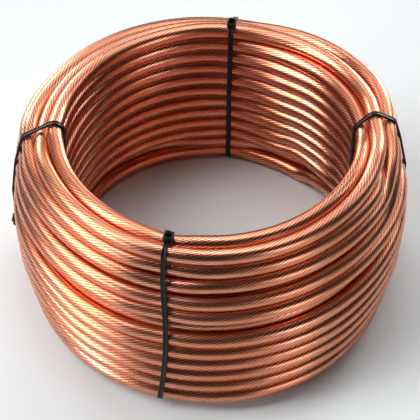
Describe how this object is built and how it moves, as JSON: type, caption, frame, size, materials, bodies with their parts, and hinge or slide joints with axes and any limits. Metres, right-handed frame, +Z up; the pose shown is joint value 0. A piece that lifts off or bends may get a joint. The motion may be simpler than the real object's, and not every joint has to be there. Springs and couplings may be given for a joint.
{
  "type": "coil of bare copper wire",
  "caption": "Coil of bare stranded copper conductor lying flat with an open eye, its stacked turns held by thin black cable ties.",
  "frame": {"origin": "on the axis of the coil's eye, in the plane the coil rests on", "axes": "+Z up along the eye's axis, -Y towards the front tie, +X towards the right tie"},
  "size_m": [0.207, 0.2012, 0.103],
  "materials": {
    "copper": "bare bright copper strands",
    "tie": "moulded black nylon"
  },
  "bodies": {
    "root": {"wire_coil": "copper", "tie_front": "tie", "tie_right": "tie", "tie_back": "tie", "tie_left": "tie"}
  },
  "joints": []
}
